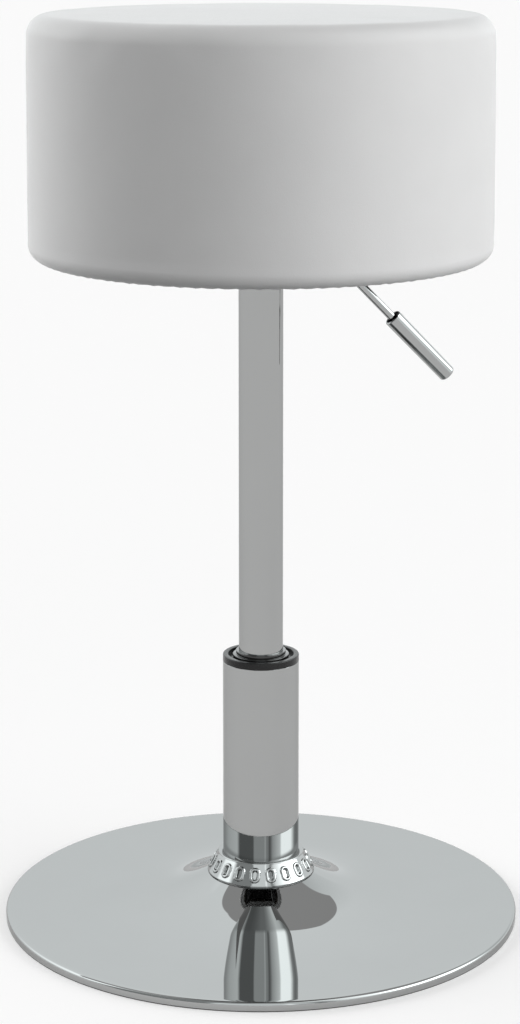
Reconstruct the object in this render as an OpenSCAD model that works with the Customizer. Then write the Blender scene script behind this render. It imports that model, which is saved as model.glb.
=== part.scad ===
// Height-adjustable vanity stool: a thick round upholstered seat on a chrome gas-lift column
// that stands in a trumpet-shaped round base. The seat turns, rises and falls, and a bent
// lever under it opens the valve of the gas spring.
// Lengths in millimetres, the floor at z = 0, the column on the z axis, the lever along +x.
// The solids are drawn with the seat fully raised.

/* [Base] */
// Diameter of the round base
base_d = 385; // [350:5:450]
// Height of the flat outer part of the base above the floor
plate_z = 7; // [6.5:0.5:10]
// Thickness of the spun steel sheet
sheet_t = 1.5; // [1:0.1:1.8]
// Radius of the rolled edge of the base
edge_round = 2.6; // [2.2:0.2:4]
// Width of the flat outer part, from the edge to where the base starts to rise
plate_w = 37.5; // [30:2.5:50]
// Slope that the long flare alone would reach at the top of the throat, in degrees
flare_slope = 18; // [14:1:20]
// Slope of the cone that the throat ends in, in degrees
throat_slope = 28; // [22:0.5:29]
// Width of the throat, over which the flare steepens into the cone
throat_w = 46; // [32:2:50]
// Width of the straight cone between the throat and the collar
cone_w = 8; // [6:1:12]
// Width of the flat collar around the tube on top of the cone
collar_w = 7.5; // [6:0.5:8]
// Height of the floor ring's lip under the edge of the base
lip_h = 0.8; // [0.6:0.1:1.5]
// Width of the floor ring
floor_ring_w = 6; // [4:0.5:10]
// Height of the floor ring
floor_ring_h = 4; // [3:0.2:4.5]
// Distance from the edge of the base to the iron weight under it
weight_edge_w = 42.5; // [30:2.5:60]
// Width of the iron weight
weight_w = 82; // [60:2:82]
// Height of the iron weight above the floor
weight_lift = 1.6; // [1:0.2:2.4]

/* [Hub under the base] */
// Height of the hub above the floor
hub_lift = 1.8; // [1:0.2:3]
// Thickness of the hub's floor that the tube stands on
hub_floor_t = 8; // [7:0.5:10]
// Gap between the hub's flange and the iron weight
hub_weight_gap = 2; // [1:0.5:6]
// Thickness of the hub's flange
hub_flange_t = 4; // [3:0.5:5]
// Thickness of the hub's wall around the tube
hub_wall = 4.5; // [3:0.5:5]
// Radius of the hole under the lower end of the piston rod
hub_hole_r = 10; // [9.5:0.5:12]
// Number of screws that hold the tube on the hub
foot_screws = 3; // [3:1:4]
// Radius of the circle that these screws stand on
foot_screw_circle = 18; // [17:0.5:19]

/* [Lower tube] */
// Diameter of the lower tube
tube_d = 57; // [52:1:60]
// Wall of the lower tube
tube_wall = 2; // [1.5:0.5:2.5]
// Height of the top of the lower tube above the floor
tube_top = 194; // [190:1:220]
// Thickness of the plug welded into the foot of the tube
plug_t = 14; // [13:0.5:18]
// Depth of the recess in the plug for the rod's washer and clip
plug_recess_h = 4.5; // [4:0.5:5]
// Radius of that recess
plug_recess_r = 9; // [8:0.5:9.4]

/* [Trim ring] */
// Height of the trim ring
trim_h = 16; // [14:0.5:18]
// Radius of the trim ring at its lower edge
trim_foot_r = 40.2; // [39:0.2:42]
// Radius of the trim ring at its upper edge
trim_top_r = 32.2; // [31:0.2:33]
// Height of the upright band at the foot of the trim ring
trim_band_h = 1.5; // [1:0.5:3]
// Thickness of the trim ring's skirt
trim_t = 2.4; // [2:0.2:3]
// Drop of the trim ring's top from its rim to the tube
trim_dip = 0.6; // [0.3:0.1:1]
// Number of windows around the trim ring
window_count = 19; // [15:1:20]
// Width of a window
window_w = 3.4; // [3.2:0.2:4.4]
// Length of a window up the ring's slope
window_l = 6.6; // [5:0.2:7.4]
// Width of the raised frame around a window
window_frame = 2.1; // [1.2:0.1:2.3]
// Height of the raised frame
window_rise = 0.7; // [0.5:0.1:0.9]
// Depth of a window
window_depth = 1; // [0.5:0.1:1.4]
// Corner radius of a window
window_round = 1.5; // [1:0.1:1.5]

/* [Guide collar] */
// Thickness of the collar's flange on top of the tube
flange_t = 5; // [4:0.5:7]
// Length of the guide sleeve inside the tube
sleeve_l = 50; // [40:1:52]
// Radial width of the flange's outer rim
flange_rim_w = 4; // [3:0.2:5]
// Radial width of the groove inside that rim
groove_w = 3; // [2:0.2:3.4]
// Depth of the groove
groove_h = 3; // [2:0.2:4]
// Depth of the wiper's seat in the flange
wiper_seat_h = 3; // [2:0.5:4]
// Width of the wiper's foot
wiper_w = 4.4; // [3:0.2:5]
// Height of the wiper's lip above the flange
wiper_lip_h = 2.6; // [1.5:0.1:4]

/* [Gas spring] */
// Diameter of the upper post, which is the pressure tube of the gas spring
post_d = 33; // [30:1:36]
// Wall of the upper post
post_wall = 2; // [1.5:0.1:2.4]
// Travel of the seat from fully raised to fully lowered
lift_stroke = 105; // [60:5:105]
// Diameter of the piston rod
rod_d = 10; // [9:0.5:11]
// Height of the piston
piston_h = 12; // [10:1:16]
// Height of the guide that closes the foot of the post
rod_guide_h = 10; // [8:1:12]
// Height of the rod seal above that guide
rod_seal_h = 4; // [3:0.5:5]
// Wire thickness of the piston's sealing ring
seal_wire_d = 2.6; // [2:0.2:3]
// Height of the rubber bump stop on the rod
bump_h = 9; // [7:0.5:10]
// Radius of the bump stop
bump_r = 12; // [10:0.5:13]
// Length of the locking taper at the top of the post
taper_l = 16; // [12:1:17]
// How much the taper loses in radius
taper_drop = 1; // [0.6:0.1:1.2]
// Length of the valve body in the top of the post
valve_l = 50; // [46:1:60]
// Diameter of the release pin
pin_d = 6; // [5:0.5:7]
// How far the release pin stands out of the post
pin_rise = 6; // [5:0.5:7]
// Height of the release pin's domed top
pin_dome_h = 1; // [0.5:0.1:1.4]
// Length of the release pin below the top of the post
pin_l = 36; // [32:1:38]
// Height of the collar at the foot of the release pin
pin_collar_h = 2; // [1.5:0.5:3]
// Width of that collar outside the pin
pin_collar_w = 1.8; // [1.5:0.1:2]
// Length of the valve spring
spring_l = 9.6; // [8:0.2:10]
// Wire thickness of the valve spring
spring_wire_d = 0.9; // [0.7:0.1:1]
// Number of turns of the valve spring
spring_turns = 5; // [4:1:6]

/* [Swivel bearing] */
// Radius of the bearing's races
race_r = 16; // [15:0.5:18]
// Thickness of each race
race_t = 2.2; // [1.8:0.2:3]
// Diameter of the balls
ball_d = 3.8; // [3.4:0.1:4]
// Number of balls
ball_count = 10; // [8:1:11]
// Radius of the circle that the balls run on
ball_circle = 11; // [10.5:0.5:12]
// Thickness of the ball cage
cage_t = 1.6; // [1.2:0.2:2]
// Width of the ball cage
cage_w = 8.4; // [7:0.2:9]
// Thickness of the washer under the plug
washer_t = 0.8; // [0.6:0.1:1]
// Thickness of the clip that holds the rod
clip_t = 1.2; // [1:0.1:1.5]
// Depth of the clip's groove in the rod
clip_groove = 1; // [0.8:0.1:1.2]
// Width of the clip's ring
clip_w = 3.2; // [2.5:0.1:3.5]

/* [Seat bracket] */
// Height of the top of the post's taper under the seat board
post_head = 25.5; // [25:0.5:32]
// Outer radius of the bracket's socket
socket_r = 22.5; // [21:0.5:24]
// Inner radius of the socket above the taper
socket_bore_r = 17.5; // [17:0.5:18.5]
// Length of the side of the square bracket plate
bracket_w = 150; // [140:2:180]
// Thickness of the bracket plate
bracket_t = 3; // [2:0.5:4]
// Corner radius of the bracket plate
bracket_round = 12; // [6:1:20]
// Radius of the hole in the middle of the bracket plate
bracket_hole_r = 12; // [8:1:16]
// Distance between the bolts along a side of the plate
bolt_spacing = 120; // [100:2:126]
// Distance from the column's axis to the lever's pivot
pivot_x = 26; // [25:0.5:27]
// Height of the lever's pivot above the top of the post
pivot_rise = 10; // [9.5:0.5:11]
// Diameter of the pivot pin
pivot_d = 4; // [3:0.5:4.5]
// Thickness of each ear that holds the pivot pin
ear_t = 4; // [3:0.5:5]
// Distance from the pivot to the ears' free end
ear_reach = 5; // [4.5:0.5:6]
// Height of the ears
ear_h = 14; // [12:0.5:15]
// Height of the opening in the socket for the lever
socket_window_h = 16.5; // [15:0.5:17]

/* [Lever] */
// Diameter of the bent lever rod
lever_d = 6.4; // [5:0.2:7]
// Distance from the column's axis to the corner of the rod
corner_x = 45.5; // [45:0.5:55]
// Slope of the rod outside the corner, in degrees below level
lever_slope = 45.7; // [35:0.1:50]
// Radius of the bend in the rod
bend_r = 14; // [10:1:16]
// Length from the corner of the rod to the handle
leg_l = 81.3; // [70:0.1:90]
// Length of the handle
handle_l = 64; // [50:1:80]
// Diameter of the handle at its inner end
handle_inner_d = 13.6; // [12:0.2:15]
// Diameter of the handle at its outer end
handle_outer_d = 12.8; // [11:0.2:13.6]
// Wall of the handle
handle_wall = 1.2; // [0.8:0.1:1.6]
// Rounding of the handle's outer end
handle_round = 2; // [1:0.2:3]
// Depth of the open mouth of the handle
handle_mouth = 2.5; // [1:0.5:4]
// Length of the plastic core in the handle
core_l = 34; // [24:1:40]
// Width of the rocker that presses the release pin
rocker_w = 11; // [10:0.5:12]
// Height of the rocker where the rod plugs in
rocker_h = 11; // [10:0.5:12]
// Length of the rocker's nose past the column's axis
rocker_nose = 6; // [4:0.5:8]
// Distance from the pivot to the rocker's outer end
rocker_tail = 12; // [11:0.5:12.5]
// Distance from the pivot to the end of the rod in the rocker
rod_socket_x = 4.5; // [4:0.5:6]

/* [Seat] */
// Height of the seat's top above the floor, fully raised
seat_top = 678; // [640:1:720]
// Diameter of the seat
seat_d = 340.4; // [300:0.4:370]
// Thickness of the seat
seat_h = 179; // [120:1:185]
// Rounding of the seat's upper edge
top_round = 14.4; // [10:0.2:24]
// Rounding of the seat's lower edge
low_round = 11; // [8:0.2:12]
// How far the middle of the seat's side stands out
side_bulge = 1.2; // [0:0.2:4]
// How far the middle of the top stands above its edge
top_crown = 1.6; // [0:0.2:6]
// Thickness of the leather cover
cover_t = 1.4; // [1:0.1:2]
// Width of the cover turned under the seat
cover_turn_w = 18; // [14:1:20]
// Thickness of the plywood board
board_t = 15; // [12:1:18]
// Thickness of the foam around the board
side_foam_t = 11.4; // [11:0.2:20]
// Height of the ring under the board
ring_h = 22; // [20:1:26]
// Width of the ring under the board
ring_w = 17; // [14:1:22]
// Thickness of the black dust cloth
cloth_t = 0.6; // [0.4:0.1:1]
// Radius of the hole in the dust cloth
cloth_hole_r = 24; // [18:1:30]
// Number of staples that hold the cover
staple_count = 32; // [24:4:40]
// Width of a staple
staple_w = 10; // [8:1:12]
// Length of a staple's legs
staple_leg = 7; // [5:0.5:9]
// Thickness of a staple's wire
staple_wire = 0.8; // [0.6:0.1:1]

/* [Screws] */
// Thread diameter of the screws and bolts
thread_d = 6; // [5:1:6]
// Diameter of the foot screws' heads
foot_head_d = 10; // [9:0.5:11]
// Height of the foot screws' heads
foot_head_h = 3.7; // [3:0.1:4]
// Length of the foot screws under the head
foot_screw_l = 14; // [12:1:15]
// Width across the flats of the sockets in the screw heads
key_w = 4; // [3:0.5:5]
// Depth of the sockets in the screw heads
key_h = 2; // [1:0.5:2.5]
// Diameter of the seat bolts' heads
bolt_head_d = 12; // [10:0.5:14]
// Height of the seat bolts' heads
bolt_head_h = 4; // [3:0.5:5]
// Diameter of the flange of a T-nut
t_nut_d = 18; // [14:1:22]
// Thickness of the flange of a T-nut
t_nut_t = 1.2; // [1:0.1:1.6]
// Length of the barrel of a T-nut
t_nut_l = 9; // [7:0.5:10]
// Wall of the barrel of a T-nut
t_nut_wall = 1.2; // [1:0.1:1.6]

/* [Hidden] */
$fn = 96;

// Clearances and overruns
fit = 0.05;          // between pieces that are pressed or welded together, or run in a bore
soft_gap = 0.3;      // between soft pieces and what they lie against
screw_gap = 0.3;     // around a screw in a plain hole
over = 1;            // how far a cut runs past the surface it opens
curve_steps = 14;    // points along each curve of an outline

// Base
base_r = base_d / 2;
tube_r = tube_d / 2;
rise_start_r = base_r - plate_w;
collar_r = tube_r + collar_w;
throat_end_r = collar_r + cone_w;
throat_start_r = throat_end_r + throat_w;
flare_w = rise_start_r - throat_end_r;
flare_tan = tan(flare_slope);
throat_tan = tan(throat_slope) - flare_tan;
flare_power = 1.25;  // how fast the flare's slope grows, 1 would be an even curve
dish_hole_r = tube_r + soft_gap;

// Slope and height of the base's upper surface at a radius
function flare_share(r) = max(0, (rise_start_r - r) / flare_w);
function throat_share(r) = min(1, max(0, (throat_start_r - r) / throat_w));
function dish_slope(r) = let (t = throat_share(r))
    atan(flare_tan * pow(flare_share(r), flare_power) + throat_tan * t * t * (3 - 2 * t));
function dish_z(r) = let (t = throat_share(r))
    plate_z
    + flare_tan * flare_w * pow(flare_share(r), flare_power + 1) / (flare_power + 1)
    + throat_tan * throat_w * (pow(t, 3) - pow(t, 4) / 2)
    + throat_tan * max(0, throat_end_r - r);
function dish_under(r) = dish_z(r) - sheet_t / cos(dish_slope(r));
collar_z = dish_z(collar_r);
weight_out_r = base_r - weight_edge_w;
weight_in_r = weight_out_r - weight_w;

// Points from radius a to radius b along the upper surface or the underside
function dish_top_line(a, b, n) = [for (i = [0:n]) let (r = a + (b - a) * i / n) [r, dish_z(r)]];
function dish_low_line(a, b, n, gap) =
    [for (i = [0:n]) let (r = a + (b - a) * i / n) [r, dish_under(r) - gap]];
function arc_line(cx, cz, r, a, b, n) =
    [for (i = [0:n]) let (t = a + (b - a) * i / n) [cx + r * cos(t), cz + r * sin(t)]];

// Hub and foot of the tube
tube_foot_z = hub_lift + hub_floor_t;
hub_bore_r = tube_r + fit;
hub_r = hub_bore_r + hub_wall;
hub_flange_r = weight_in_r - hub_weight_gap;
hub_top_z = dish_under(collar_r) - fit;
tube_bore_r = tube_r - tube_wall;
plug_top_z = tube_foot_z + plug_t;
thread_r = thread_d / 2;
foot_seat_z = hub_lift + foot_head_h + soft_gap / 2;
screw_turn = 30;     // turns the foot screws clear of the lever's side

// Bearing, from the plug upwards
rod_r = rod_d / 2;
ball_r = ball_d / 2;
ball_gap = 0.1;
lower_race_z = plug_top_z;
ball_z = lower_race_z + race_t + ball_gap + ball_r;
upper_race_z = ball_z + ball_r + ball_gap;
bump_z = upper_race_z + race_t;
race_bore_r = rod_r + soft_gap;
cage_in_r = ball_circle - cage_w / 2;
washer_gap = 0.2;
washer_z = tube_foot_z + plug_recess_h - washer_gap - washer_t;
clip_z = washer_z - clip_t - fit;
rod_foot_z = clip_z - clip_t;
rod_round = 0.6;

// Gas spring
post_r = post_d / 2;
post_bore_r = post_r - post_wall;
stop_gap = 0.6;
post_foot_z = bump_z + bump_h + stop_gap + lift_stroke;
piston_z = post_foot_z + rod_guide_h + rod_seal_h + 2 * stop_gap;
piston_r = post_bore_r - fit;
seal_wire_r = seal_wire_d / 2;
seal_circle = piston_r - seal_wire_r;
rod_top_z = piston_z + piston_h;
seat_bottom = seat_top - seat_h;
board_z = seat_bottom + cover_t + ring_h + fit;
post_top_z = board_z - post_head;
taper_z = post_top_z - taper_l;
taper_top_r = post_r - taper_drop;
valve_r = post_bore_r - fit;
valve_z = post_top_z - valve_l;
pin_r = pin_d / 2;
pin_foot_z = post_top_z - pin_l;
pin_top_z = post_top_z + pin_rise;
pin_collar_r = pin_r + pin_collar_w;
chamber_r = pin_collar_r + 2 * spring_wire_d / 2;
chamber_top_z = pin_foot_z + pin_collar_h + washer_gap;
spring_z = pin_foot_z - spring_l - fit;
spring_wire_r = spring_wire_d / 2;
spring_circle = pin_r + spring_wire_d;
spring_sides = 6;
spring_turn_steps = 14;
dome_r = (pin_r * pin_r + pin_dome_h * pin_dome_h) / (2 * pin_dome_h);

// Collar on the tube
collar_foot_z = tube_top - sleeve_l;
flange_top_z = tube_top + flange_t;
running_r = post_r + fit;
wiper_r = running_r + wiper_w;
wiper_z = flange_top_z - wiper_seat_h;
groove_out_r = tube_r - flange_rim_w;
flange_round = 0.8;

// Trim ring
trim_foot_z = dish_z(trim_foot_r) + soft_gap;
trim_inner_r = trim_foot_r - trim_t;
trim_top_z = trim_foot_z + trim_h;
trim_bore_r = tube_r + fit;
trim_seat_z = collar_z;
trim_edge = 0.8;
trim_shoulder_z = trim_foot_z + trim_band_h;
trim_lean = atan((trim_foot_r - trim_top_r) / (trim_h - trim_band_h));
window_mid_r = (trim_foot_r + trim_top_r) / 2;
window_mid_z = (trim_shoulder_z + trim_top_z) / 2;

// Bracket
bolt_at = bolt_spacing / 2;
cloth_z = board_z - cloth_t;
plate_bottom_z = cloth_z - bracket_t;
pivot_z = post_top_z + pivot_rise;
pivot_r = pivot_d / 2;
side_gap = 0.6;
window_half = rocker_w / 2 + side_gap;
ear_out_y = window_half + ear_t;
ear_z = pivot_z - ear_h / 2;
socket_window_z = pivot_z - socket_window_h / 2 + fit;
pivot_clip_t = 0.6;
pivot_clip_w = 2.2;
pivot_groove = 0.4;
pivot_end_y = ear_out_y + 3 * pivot_clip_t;
clip_open = 70;      // opening angle of the spring clips

// Lever
lever_r = lever_d / 2;
rocker_z = pin_top_z + 3 * fit;
rocker_low_z = pivot_z - rocker_h / 2;
rocker_tip_h = rocker_h / 2;
rocker_end_x = pivot_x + rocker_tail;
rod_start_x = pivot_x + rod_socket_x;
bend_cut = bend_r * tan(lever_slope / 2);
straight_l = leg_l - bend_cut;
bend_lap = 0.2;
bend_swell = 0.05;
rod_in_handle = handle_mouth + core_l - over;
handle_inner_r = handle_inner_d / 2;
handle_outer_r = handle_outer_d / 2;
core_r = handle_outer_r - handle_wall - fit;

// Seat
seat_r = seat_d / 2;
board_r = seat_r - cover_t - side_foam_t - soft_gap;
board_top_z = board_z + board_t;
ring_in_r = board_r - ring_w;
cover_turn_r = seat_r - low_round - cover_turn_w;
side_top_z = seat_top - top_crown - top_round;
side_low_z = seat_bottom + low_round;
side_mid_z = (side_top_z + side_low_z) / 2;
side_half = (side_top_z - side_low_z) / 2;
foam_in = cover_t + soft_gap;
staple_r = (cover_turn_r + board_r) / 2 - staple_wire;

// Outline of the seat, drawn in by an amount: its top, rounded edges and side
function crown_line(inset) = let (end = seat_r - top_round)
    [for (i = [0:curve_steps]) let (x = end * i / curve_steps)
        [x, seat_top - inset - top_crown * pow(x / end, 2)]];
function top_edge_line(inset) =
    arc_line(seat_r - top_round, side_top_z, top_round - inset, 90, 0, curve_steps);
function side_line(inset, za, zb) =
    [for (i = [1:curve_steps - 1]) let (z = za + (zb - za) * i / curve_steps)
        [seat_r - inset + side_bulge * (1 - pow((z - side_mid_z) / side_half, 2)), z]];
function low_edge_line(inset) =
    arc_line(seat_r - low_round, side_low_z, low_round - inset, 0, -90, curve_steps);
function flip(line) = [for (i = [len(line) - 1:-1:0]) line[i]];
function side_at(inset, z) =
    [seat_r - inset + side_bulge * (1 - pow((z - side_mid_z) / side_half, 2)), z];

module chrome() {
    color("#b9bfbf") children();
}

module steel() {
    color("#8f9496") children();
}

module ring_of(count, turn = 0) {
    for (i = [0:count - 1])
        rotate([0, 0, turn + 360 * i / count])
            children();
}

module tube_between(r_out, r_in, z, h) {
    translate([0, 0, z])
        difference() {
            cylinder(r = r_out, h = h);
            translate([0, 0, -over])
                cylinder(r = r_in, h = h + 2 * over);
        }
}

// Spun sheet dish with a rolled edge and a hole for the tube
module base_shell() {
    chrome()
        rotate_extrude($fn = 180)
            polygon(concat(
                [[base_r, lip_h]],
                arc_line(base_r - edge_round, plate_z - edge_round, edge_round, 0, 90, curve_steps),
                dish_top_line(rise_start_r, throat_end_r, 2 * curve_steps),
                [[collar_r, collar_z], [dish_hole_r, collar_z], [dish_hole_r, dish_under(collar_r)]],
                dish_low_line(collar_r, throat_end_r, 1, 0),
                dish_low_line(throat_end_r + over, rise_start_r, 2 * curve_steps, 0),
                arc_line(base_r - edge_round, plate_z - edge_round, edge_round - sheet_t,
                    90, 0, curve_steps),
                [[base_r - sheet_t, lip_h]]
            ));
}

// Rubber ring pushed in behind the edge of the dish, with a lip that meets the floor
module floor_ring() {
    color("#2a2a2a")
        rotate_extrude($fn = 180)
            polygon([
                [base_r - floor_ring_w, 0],
                [base_r - sheet_t / 4, 0],
                [base_r - sheet_t / 4, lip_h],
                [base_r - sheet_t - fit, lip_h],
                [base_r - sheet_t - fit, floor_ring_h],
                [base_r - floor_ring_w, floor_ring_h]
            ]);
}

// Cast iron ring bonded under the dish, shaped to its underside
module cast_weight() {
    color("#3c3f41")
        rotate_extrude($fn = 180)
            polygon(concat(
                [[weight_in_r, weight_lift], [weight_out_r, weight_lift]],
                dish_low_line(weight_out_r, weight_in_r, 2 * curve_steps, soft_gap)
            ));
}

// Turned steel hub welded under the collar of the dish; the tube stands in it
module base_hub() {
    steel()
        difference() {
            union() {
                translate([0, 0, hub_lift])
                    cylinder(r = hub_r, h = hub_top_z - hub_lift);
                translate([0, 0, hub_lift])
                    cylinder(r = hub_flange_r, h = hub_flange_t);
            }
            translate([0, 0, tube_foot_z])
                cylinder(r = hub_bore_r, h = hub_top_z);
            translate([0, 0, hub_lift - over])
                cylinder(r = hub_hole_r, h = hub_floor_t + 2 * over);
            ring_of(foot_screws, screw_turn)
                translate([foot_screw_circle, 0, hub_lift - over]) {
                    cylinder(r = thread_r + screw_gap, h = hub_floor_t + 2 * over);
                    cylinder(r = foot_head_d / 2 + screw_gap, h = foot_seat_z - hub_lift + over);
                }
        }
}

module foot_screw_set() {
    color("#6f7375")
        ring_of(foot_screws, screw_turn)
            translate([foot_screw_circle, 0, foot_seat_z])
                difference() {
                    union() {
                        cylinder(r = thread_r, h = foot_screw_l);
                        translate([0, 0, -foot_head_h])
                            cylinder(r = foot_head_d / 2, h = foot_head_h);
                    }
                    translate([0, 0, -foot_head_h - over])
                        cylinder(d = key_w / cos(30), h = key_h + over, $fn = 6);
                }
}

module outer_tube() {
    chrome()
        tube_between(tube_r, tube_bore_r, tube_foot_z, tube_top - tube_foot_z, $fn = 128);
}

// Steel plug in the foot of the tube: rod bearing, clip recess and threads for the foot screws
module tube_plug() {
    steel()
        translate([0, 0, tube_foot_z])
            difference() {
                cylinder(r = tube_bore_r - fit, h = plug_t);
                translate([0, 0, -over])
                    cylinder(r = rod_r + fit, h = plug_t + 2 * over);
                translate([0, 0, -over])
                    cylinder(r = plug_recess_r, h = plug_recess_h + over);
                ring_of(foot_screws, screw_turn)
                    translate([foot_screw_circle, 0, -over])
                        cylinder(r = thread_r + fit, h = foot_seat_z + foot_screw_l
                            - tube_foot_z + 2 * over);
            }
}

// Oblong with round corners that stands on its middle
module window_shape(w, l, round) {
    square([w - 2 * round, l], center = true);
    square([w, l - 2 * round], center = true);
    for (x = [-1, 1], y = [-1, 1])
        translate([x * (w / 2 - round), y * (l / 2 - round)])
            circle(r = round, $fn = 24);
}

// Places a flat shape on the sloping face of the trim ring
module on_trim_slope(depth) {
    translate([window_mid_r, 0, window_mid_z])
        rotate([0, -trim_lean, 0])
            rotate([90, 0, 90])
                translate([0, 0, -depth])
                    children();
}

// Pressed ring that hides the joint of tube and base, with a row of framed windows
module trim_ring() {
    chrome()
        difference() {
            union() {
                rotate_extrude($fn = 128)
                    polygon([
                        [trim_inner_r, dish_z(trim_inner_r) + soft_gap],
                        [trim_foot_r, trim_foot_z],
                        [trim_foot_r, trim_shoulder_z],
                        [trim_top_r, trim_top_z - trim_edge],
                        [trim_top_r - trim_edge, trim_top_z],
                        [trim_bore_r, trim_top_z - trim_dip],
                        [trim_bore_r, trim_seat_z],
                        [collar_r - trim_t, trim_seat_z],
                        [collar_r, trim_seat_z + soft_gap]
                    ]);
                ring_of(window_count)
                    on_trim_slope(window_depth)
                        linear_extrude(window_depth + window_rise)
                            window_shape(window_w + 2 * window_frame,
                                window_l + 2 * window_frame, window_round + window_frame);
            }
            ring_of(window_count)
                on_trim_slope(window_depth)
                    linear_extrude(window_depth + window_rise + over)
                        window_shape(window_w, window_l, window_round);
        }
}

// Black plastic collar on the tube, with the long sleeve that guides the post
module guide_collar() {
    color("#161616")
        rotate_extrude($fn = 128)
            polygon(concat(
                [[running_r, collar_foot_z], [tube_bore_r - fit, collar_foot_z]],
                [[tube_bore_r - fit, tube_top], [tube_r, tube_top]],
                arc_line(tube_r - flange_round, flange_top_z - flange_round, flange_round,
                    0, 90, curve_steps),
                [[groove_out_r, flange_top_z], [groove_out_r, flange_top_z - groove_h]],
                [[groove_out_r - groove_w, flange_top_z - groove_h]],
                [[groove_out_r - groove_w, wiper_z], [running_r, wiper_z]]
            ));
}

// Glossy wiper around the post: a low cone that ends in a lip
module wiper_ring() {
    color("#0b0b0b")
        rotate_extrude($fn = 128)
            polygon([
                [running_r, wiper_z],
                [wiper_r, wiper_z],
                [wiper_r, flange_top_z],
                [(wiper_r + running_r) / 2, flange_top_z + wiper_lip_h / 4],
                [running_r + 2 * fit + wiper_w / 4, flange_top_z + wiper_lip_h],
                [running_r, flange_top_z + wiper_lip_h]
            ]);
}

module lower_race() {
    steel() tube_between(race_r, race_bore_r, lower_race_z, race_t);
}

module ball_cage() {
    color("#b08d3c")
        difference() {
            tube_between(cage_in_r + cage_w, cage_in_r, ball_z - cage_t / 2, cage_t);
            ring_of(ball_count)
                translate([ball_circle, 0, ball_z - cage_t])
                    cylinder(r = ball_r + ball_gap, h = 2 * cage_t);
        }
}

module bearing_balls() {
    color("#c8cccd")
        ring_of(ball_count)
            translate([ball_circle, 0, ball_z])
                sphere(r = ball_r, $fn = 32);
}

module upper_race() {
    steel() tube_between(race_r, rod_r + fit / 2, upper_race_z, race_t);
}

module bump_stop() {
    color("#202020")
        rotate_extrude()
            polygon(concat(
                [[rod_r + fit, bump_z], [bump_r, bump_z]],
                arc_line(bump_r - 2 * stop_gap, bump_z + bump_h - 2 * stop_gap, 2 * stop_gap,
                    0, 90, curve_steps),
                [[rod_r + fit, bump_z + bump_h]]
            ));
}

module rod_washer() {
    steel() tube_between(plug_recess_r - 2 * washer_gap, rod_r + fit, washer_z, washer_t);
}

// Open spring clip in the groove at the foot of the piston rod
module rod_clip() {
    color("#55595b")
        translate([0, 0, clip_z])
            rotate_extrude(angle = 360 - clip_open)
                translate([rod_r - clip_groove + fit, 0])
                    square([clip_w, clip_t]);
}

module piston_rod() {
    color("#d0d4d5")
        rotate_extrude()
            polygon([
                [0, rod_foot_z],
                [rod_r - rod_round, rod_foot_z],
                [rod_r, rod_foot_z + rod_round],
                [rod_r, clip_z - fit],
                [rod_r - clip_groove, clip_z - fit],
                [rod_r - clip_groove, clip_z + clip_t + fit],
                [rod_r, clip_z + clip_t + fit],
                [rod_r, rod_top_z + rod_round],
                [rod_r - rod_round, rod_top_z + 2 * rod_round],
                [0, rod_top_z + 2 * rod_round]
            ]);
}

// Piston on the rod, with a groove for its sealing ring
module piston() {
    color("#a7adb0")
        difference() {
            tube_between(piston_r, rod_r + fit / 2, piston_z, piston_h);
            translate([0, 0, piston_z + piston_h / 2 - seal_wire_r - fit])
                difference() {
                    cylinder(r = piston_r + over, h = seal_wire_d + 2 * fit);
                    translate([0, 0, -over])
                        cylinder(r = seal_circle - seal_wire_r - fit, h = seal_wire_d + 2 * over);
                }
        }
}

module piston_seal() {
    color("#1c1c1c")
        translate([0, 0, piston_z + piston_h / 2])
            rotate_extrude()
                translate([seal_circle, 0])
                    circle(r = seal_wire_r, $fn = 32);
}

// Pressure tube of the gas spring: the visible upper post, with a locking taper at its top
module upper_post() {
    chrome()
        rotate_extrude($fn = 128)
            polygon([
                [post_bore_r, post_foot_z],
                [post_r - rod_round, post_foot_z],
                [post_r, post_foot_z + rod_round],
                [post_r, taper_z],
                [taper_top_r, post_top_z],
                [post_bore_r, post_top_z]
            ]);
}

module rod_guide() {
    color("#8a7a52") tube_between(post_bore_r - fit, rod_r + fit, post_foot_z, rod_guide_h);
}

module rod_seal() {
    color("#1c1c1c")
        tube_between(post_bore_r - fit, rod_r + fit, post_foot_z + rod_guide_h, rod_seal_h);
}

// Valve body in the top of the post, bored for the release pin and its spring
module valve_body() {
    steel()
        difference() {
            translate([0, 0, valve_z])
                cylinder(r = valve_r, h = valve_l);
            translate([0, 0, valve_z])
                cylinder(r = pin_r + fit, h = valve_l + over);
            translate([0, 0, spring_z - fit])
                cylinder(r = chamber_r, h = chamber_top_z - spring_z + fit);
            translate([0, 0, valve_z - over])
                cylinder(r = pin_r / 2, h = valve_l);
        }
}

// Coil spring under the release pin: one round wire swept along a helix
function spring_point(t) = let (a = 360 * spring_turns * t)
    [spring_circle * cos(a), spring_circle * sin(a),
        spring_z + spring_wire_r + (spring_l - spring_wire_d) * t];
module valve_spring() {
    count = spring_turns * spring_turn_steps;
    points = [for (i = [0:count], k = [0:spring_sides - 1])
        let (p = spring_point(i / count), a = 360 * spring_turns * i / count,
            b = 360 * k / spring_sides, w = spring_wire_r)
        [p[0] + w * cos(b) * cos(a), p[1] + w * cos(b) * sin(a), p[2] + w * sin(b)]];
    sides = [for (i = [0:count - 1], k = [0:spring_sides - 1])
        let (a = i * spring_sides + k, b = i * spring_sides + (k + 1) % spring_sides)
        [a, a + spring_sides, b + spring_sides, b]];
    first = [for (k = [0:spring_sides - 1]) k];
    last = [for (k = [spring_sides - 1:-1:0]) count * spring_sides + k];
    color("#77797a")
        polyhedron(points = points, faces = concat(sides, [first, last]));
}

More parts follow.
